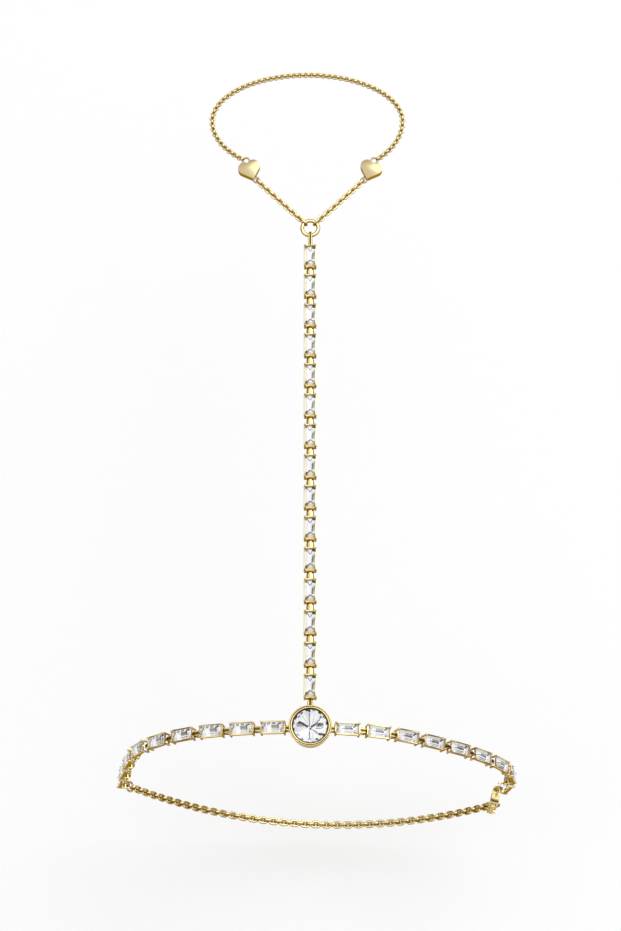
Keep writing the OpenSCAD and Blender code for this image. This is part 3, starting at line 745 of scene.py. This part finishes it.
def domed_strap(start, end, inner, width, section):
    """A strap with a half round or grooved outside, bent round bars at x = start and x = end."""
    bm = bmesh.new()
    half = [(share * width / 2, inner + rise) for share, rise in section]
    other_half = [(-y, z) for y, z in reversed(half)]
    loop = closed_loop(bm, [(end, y, z) for y, z in half + other_half])
    for centre, shift in ((end, start - end), (start, end - start)):
        loop = bmesh.ops.spin(
            bm, geom=loop, cent=(centre, 0, 0), axis=(0, 1, 0), angle=pi, steps=BEND_STEPS)["geom_last"]
        for _ in range(SIDE_PARTS):
            edges = [e for e in loop if isinstance(e, bmesh.types.BMEdge)]
            grown = bmesh.ops.extrude_edge_only(bm, edges=edges)["geom"]
            loop = [e for e in grown if not isinstance(e, bmesh.types.BMFace)]
            verts = [v for v in loop if isinstance(v, bmesh.types.BMVert)]
            bmesh.ops.translate(bm, verts=verts, vec=(shift / SIDE_PARTS, 0, 0))
    # Painted shade: the groove's floor and walls take the second, darker material
    groove = section[-2][0] * width / 2
    for face in bm.faces:
        place = face.calc_center_median()
        rise = hypot(max(start - place.x, place.x - end, 0.0), place.z) - inner
        if place.z > 0 and abs(place.y) < groove and GROOVE_FROM < rise < GROOVE_TO:
            face.material_index = 1
    for vert in bm.verts:
        share = (2 * vert.co.x - start - end) / (end - start + 2 * inner)
        vert.co.y *= 1 - END_TAPER * share * share
    bmesh.ops.remove_doubles(bm, verts=bm.verts, dist=1e-4)
    bmesh.ops.recalc_face_normals(bm, faces=bm.faces)
    return bm


def add_strap(bm, place, start, end, inner, width, section=GROOVED_SECTION):
    """Joins one strap to a mesh."""
    add_copies(bm, domed_strap(start, end, inner, width, section), [place])


def hand_straps():
    """The strap at the bezel, and one between each two settings of the hand row."""
    bm = bmesh.new()
    first_bar = HAND_FIRST - BAR_X
    add_strap(bm, hand_place(0), BEZEL_BAR + SLACK, first_bar - SLACK, STRAP_IN, STRAP_WIDTH)
    reach = HAND_PITCH / 2 - BAR_X - SLACK
    for i in range(HAND_COUNT - 1):
        place = hand_place(HAND_FIRST + (i + 0.5) * HAND_PITCH)
        add_strap(bm, place, -reach, reach, STRAP_IN, HAND_STRAP_WIDTH, STRAP_SECTION)
    return bm


def ring_bail():
    """The strap from the last bar of the hand row to the top ring."""
    inner = TOP_RING_WIRE / 2 + FINE_CLEAR
    start = HAND_LAST + BAR_X + inner - BAR / 2 - FINE_CLEAR
    end = HAND_LAST + SETTING_LENGTH / 2 + TOP_RING_GAP + TOP_RING_WIRE / 2 + RING_EASE
    bm = bmesh.new()
    add_strap(bm, hand_place(0), start, end, inner, RING_STRAP_WIDTH)
    return bm


def wrist_straps(side):
    """Straps from the bezel, over the settings of one side, to the chain's ring or the clasp."""
    bars = wrist_bars(side)
    tail_fall, tail_width, tail_turn = TAILS[side]
    last_bar = bars[-1][1]
    starts = [Vector((BEZEL_BAR, LINK_LINE))] + [far for near, far in bars]
    ends = [near for near, far in bars] + [last_bar + TAIL_REACH * down(tail_fall)]
    bm = bmesh.new()
    for i, (p, q) in enumerate(zip(starts, ends)):
        middle, half = (p + q) / 2, (q - p).length / 2
        place = ring_place(side, middle.x, middle.y, degrees(atan2(p.y - q.y, q.x - p.x)))
        start, end, width = SLACK - half, half - SLACK, STRAP_WIDTH
        if i == WRIST_COUNT:
            place = place @ turned(tail_turn, "X")
            end, width = half + RING_EASE, tail_width
        if side == LEFT:
            start, end = -end, -start
        add_strap(bm, place, start, end, STRAP_IN, width)
    return bm


class HANDCHAIN_OT_straps(bpy.types.Operator):
    """Domed strap links between the settings, and the bail of the top ring"""

    bl_idname = "handchain.straps"
    bl_label = "Straps"

    def execute(self, context):
        have = finishes()
        row_gold = [have["Setting gold"], have["Shaded recess gold"]]
        gold = [have["Polished gold"], have["Shaded recess gold"]]
        mesh_piece("hand_strap_links", hand_straps(), row_gold, ["hand_straps"])
        mesh_piece("top_bail", ring_bail(), gold, ["ring_bail"])
        for side, name in ((LEFT, "left"), (RIGHT, "right")):
            mesh_piece(name + "_strap_links", wrist_straps(side), gold, [name + "_straps"])
        return {"FINISHED"}


# The studio, in metres, watts and degrees: each soft light's place, size and power
SOFT_LIGHTS = {"key": ((0.6, 0.6, 1.1), 1.1, 6.5), "fill": ((-1.0, -0.3, 0.8), 0.8, 1.5)}
LIGHTS_AIM = (0, 0.04, 0)
# Drop of the floor below the lowest piece, and half its width
FLOOR_DROP, FLOOR_REACH = 0.008, 4.0
# Colours of the surroundings from below to above, their strength, and their slant to the right
SKY = (
    (0.0, (0.17, 0.12, 0.07)), (0.37, (0.07, 0.05, 0.03)),
    (0.56, (0.46, 0.455, 0.45)), (0.79, (1, 1, 1)))
SKY_STRENGTH, SKY_SLANT = 1.12, 0.12
# The camera found for the photograph, its lens and sensor in millimetres
CAMERA_PLACE, CAMERA_ABOVE_LEVEL = (0.00005, -0.1749, 0.5781), 69
CAMERA_LENS, CAMERA_SENSOR = 140.6, 36.0


def studio_floor(scene):
    """White paper under the whole part."""
    bm = bmesh.new()
    low = CAD_BOX[0][2] - FLOOR_DROP
    bmesh.ops.create_grid(
        bm, x_segments=1, y_segments=1, size=FLOOR_REACH, matrix=Matrix.Translation((0, 0, low)))
    mesh = bpy.data.meshes.new("floor")
    bm.to_mesh(mesh)
    bm.free()
    paper = Finish("Studio floor", Roughness=0.7)
    tint = scene.hand_chain_colours.floor
    paper.set("Base Color", paper.between(paper.noise(PAPER_HAZE), shade(tint, 0.985), tint))
    mesh.materials.append(paper.material)
    floor = bpy.data.objects.new("floor", mesh)
    scene.collection.objects.link(floor)


def soft_light(scene, name, place, size, power):
    """A square light that looks at the part."""
    light = bpy.data.lights.new(name, "AREA")
    light.shape, light.size, light.energy = "SQUARE", size, power
    lamp = bpy.data.objects.new(name, light)
    lamp.location = place
    lamp.rotation_euler = (Vector(LIGHTS_AIM) - Vector(place)).to_track_quat("-Z", "Y").to_euler()
    scene.collection.objects.link(lamp)


def surroundings(scene):
    """A world that is white above and dark below, for the metal to reflect."""
    scene.world = bpy.data.worlds.new("Studio")
    sheet = NodeSheet(scene.world)
    way = sheet.add("ShaderNodeTexCoord", output="Generated")
    height = sheet.add("ShaderNodeSeparateXYZ", None, {0: way}, "Z")
    rightward = sheet.add("ShaderNodeSeparateXYZ", None, {0: way}, "X")
    sky = sheet.add("ShaderNodeValToRGB", {"stops": SKY}, {0: height + rightward * SKY_SLANT})
    background = sheet.tree.nodes["Background"]
    sheet.feed(background.inputs["Color"], sky)
    sheet.feed(background.inputs["Strength"], SKY_STRENGTH)


def photo_camera(scene):
    """The camera of the photograph."""
    lens = bpy.data.cameras.new("camera")
    lens.lens, lens.sensor_width = CAMERA_LENS, CAMERA_SENSOR
    camera = bpy.data.objects.new("camera", lens)
    camera.location = CAMERA_PLACE
    camera.rotation_euler = (radians(90 - CAMERA_ABOVE_LEVEL), 0, 0)
    scene.collection.objects.link(camera)
    scene.camera = camera


class HANDCHAIN_OT_studio(bpy.types.Operator):
    """Floor, soft lights and the camera of the photograph"""

    bl_idname = "handchain.studio"
    bl_label = "Studio"

    def execute(self, context):
        scene = context.scene
        scene.view_settings.view_transform = "Standard"
        studio_floor(scene)
        for name, (place, size, power) in SOFT_LIGHTS.items():
            soft_light(scene, name, place, size, power)
        surroundings(scene)
        photo_camera(scene)
        return {"FINISHED"}


# Gold nodes that are drawn anew
REDRAWN = ("finger_chain_back", "hand_straps", "left_straps", "right_straps", "ring_bail")


class HANDCHAIN_OT_metal(bpy.types.Operator):
    """Polished gold on the bezel, settings, chains, hearts, rings and clasp"""

    bl_idname = "handchain.metal"
    bl_label = "Gold pieces"

    def execute(self, context):
        have = finishes()
        for node, slot in SLOTS.items():
            if slot == "gold" and node not in REDRAWN:
                body = "lever" if node == "clasp_lever" else "bracelet"
                dressed_copy(node, have[by_start(FINISHES, node, "Polished gold")], body)
        rim = lathe_ring(RIM_LINE, 96)
        for face in rim.faces:
            place = face.calc_center_median()
            reach = hypot(place.x, place.y)
            groove = RIM_GROOVE[0] < reach < RIM_GROOVE[1] and place.z > RIM_FOOT
            # The rim's inside and its groove take painted shade
            face.material_index = int(reach < RIM_INSIDE or groove)
        mesh_piece("bezel_rim", rim, [have["Polished gold"], have["Shaded recess gold"]], [])
        return {"FINISHED"}


class HANDCHAIN_OT_stones(bpy.types.Operator):
    """Round centre stone and the three strings of baguettes"""

    bl_idname = "handchain.stones"
    bl_label = "Stones"

    def execute(self, context):
        have = finishes()
        crystal = [have["Clear crystal"], have["Painted facet reflections"]]
        bm = ground_brilliant(context.scene.hand_chain_sizes.round_stone)
        bmesh.ops.translate(bm, verts=bm.verts, vec=(0, 0, ROUND_GIRDLE_Z))
        mesh_piece("centre_brilliant", bm, crystal, ["centre_stone"], smooth=False)
        row = [hand_place(HAND_FIRST + i * HAND_PITCH) for i in range(HAND_COUNT)]
        left, right = ([ring_place(side, *spot) for spot in wrist_strip(side)] for side in (LEFT, RIGHT))
        stone_string("hand_baguettes", row, PAINTED_TONES_HAND, PAINTED_REFLECTIONS_HAND, ["hand_stones"])
        stone_string("left_baguettes", left, PAINTED_TONES_LEFT, PAINTED_REFLECTIONS_LEFT, ["left_stones"])
        stone_string("right_baguettes", right, PAINTED_TONES_RIGHT, PAINTED_REFLECTIONS_RIGHT, ["right_stones"])
        return {"FINISHED"}


# The fine chain: points on its line, sides of its wire, play between two links in millimetres,
# and how far from the middle of a heart's eye the inside of its first link starts
LOOP_STEPS, WIRE_SIDES, LINK_PLAY, EYE_INSET = 800, 8, 0.01, 0.62


def loop_line():
    """Points of the finger loop's line, from one heart's eye round the back to the other's."""
    half = LOOP_WIDTH / 2
    back_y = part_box("finger_chain_back")[1][1] / MM
    widest_y = back_y - LOOP_TUBE / 2 - LOOP_BACK

    def start(side):
        return acos((HEART_EYE_X - side * LOOP_SHIFT) / half)

    def spot(t):
        side = 1 if cos(t) > 0 else -1
        reach = LOOP_BACK if sin(t) > 0 else LOOP_FRONT / sin(start(side))
        return Vector((LOOP_SHIFT + half * cos(t), widest_y + reach * sin(t), LINK_LINE))

    first, last = -start(1), pi + start(-1)
    return [spot(first + (last - first) * i / LOOP_STEPS) for i in range(LOOP_STEPS + 1)]


def link_places(line, inset, step):
    """A place for each link along a line, about a step apart, every second one on edge."""
    along = [0.0]
    for a, b in zip(line, line[1:]):
        along.append(along[-1] + (b - a).length)
    room = along[-1] - 2 * inset
    count = int(room / step) // 2 * 2 + 1
    step = room / (count - 1)
    places, k = [], 0
    for i in range(count):
        s = inset + i * step
        while along[k + 1] < s:
            k += 1
        heading = line[k + 1] - line[k]
        point = line[k].lerp(line[k + 1], (s - along[k]) / (along[k + 1] - along[k]))
        way = turned(degrees(atan2(heading.y, heading.x)), "Z")
        places.append(Matrix.Translation(point) @ way @ turned(90 * ((i + 1) % 2), "X"))
    return places


def fine_link(sizes):
    """One link of flattened wire in millimetres, its length along X."""
    bend = (sizes.fine_width - sizes.fine_wire) / 2
    thick, deep = sizes.fine_wire / 2, sizes.fine_depth / 2
    around = [2 * pi * k / WIRE_SIDES for k in range(WIRE_SIDES)]
    link = lathe_ring([(bend + thick * cos(a), deep * sin(a)) for a in around], sizes.link_facets)
    stretch = (sizes.fine_link - sizes.fine_width) / 2
    for vert in link.verts:
        vert.co.x += stretch if vert.co.x > 0 else -stretch
    return link


class HANDCHAIN_OT_fine_chain(bpy.types.Operator):
    """Links of the very fine chain behind the hearts"""

    bl_idname = "handchain.fine_chain"
    bl_label = "Fine chain"

    def execute(self, context):
        sizes = context.scene.hand_chain_sizes
        inset = EYE_INSET + sizes.fine_link / 2 - sizes.fine_wire
        step = sizes.fine_link - 2 * sizes.fine_wire - LINK_PLAY
        bm = bmesh.new()
        add_copies(bm, fine_link(sizes), link_places(loop_line(), inset, step))
        mesh_piece("fine_links", bm, [finishes()["Polished gold"]], ["finger_chain_back"])
        return {"FINISHED"}


class HANDCHAIN_PT_panel(bpy.types.Panel):
    """Sizes, colours and pieces of the hand chain bracelet"""

    bl_idname = "HANDCHAIN_PT_panel"
    bl_label = "Hand chain"
    bl_space_type = "VIEW_3D"
    bl_region_type = "UI"
    bl_category = "Hand chain"

    def draw(self, context):
        scene = context.scene
        for group in (scene.hand_chain_sizes, scene.hand_chain_colours):
            for name in group.__annotations__:
                self.layout.prop(group, name)
        for operator in OPERATORS:
            self.layout.operator(operator.bl_idname)


OPERATORS = (
    HANDCHAIN_OT_studio, HANDCHAIN_OT_metal, HANDCHAIN_OT_straps, HANDCHAIN_OT_stones,
    HANDCHAIN_OT_fine_chain)
CLASSES = (HandChainSizes, HandChainColours, *OPERATORS, HANDCHAIN_PT_panel)


def register():
    for cls in CLASSES:
        bpy.utils.register_class(cls)
    bpy.types.Scene.hand_chain_sizes = PointerProperty(type=HandChainSizes)
    bpy.types.Scene.hand_chain_colours = PointerProperty(type=HandChainColours)


def unregister():
    del bpy.types.Scene.hand_chain_colours
    del bpy.types.Scene.hand_chain_sizes
    for cls in reversed(CLASSES):
        bpy.utils.unregister_class(cls)


def main():
    register()
    bpy.ops.handchain.studio()
    bpy.ops.handchain.metal()
    bpy.ops.handchain.straps()
    bpy.ops.handchain.stones()
    bpy.ops.handchain.fine_chain()
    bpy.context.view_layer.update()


if __name__ == "__main__":
    main()
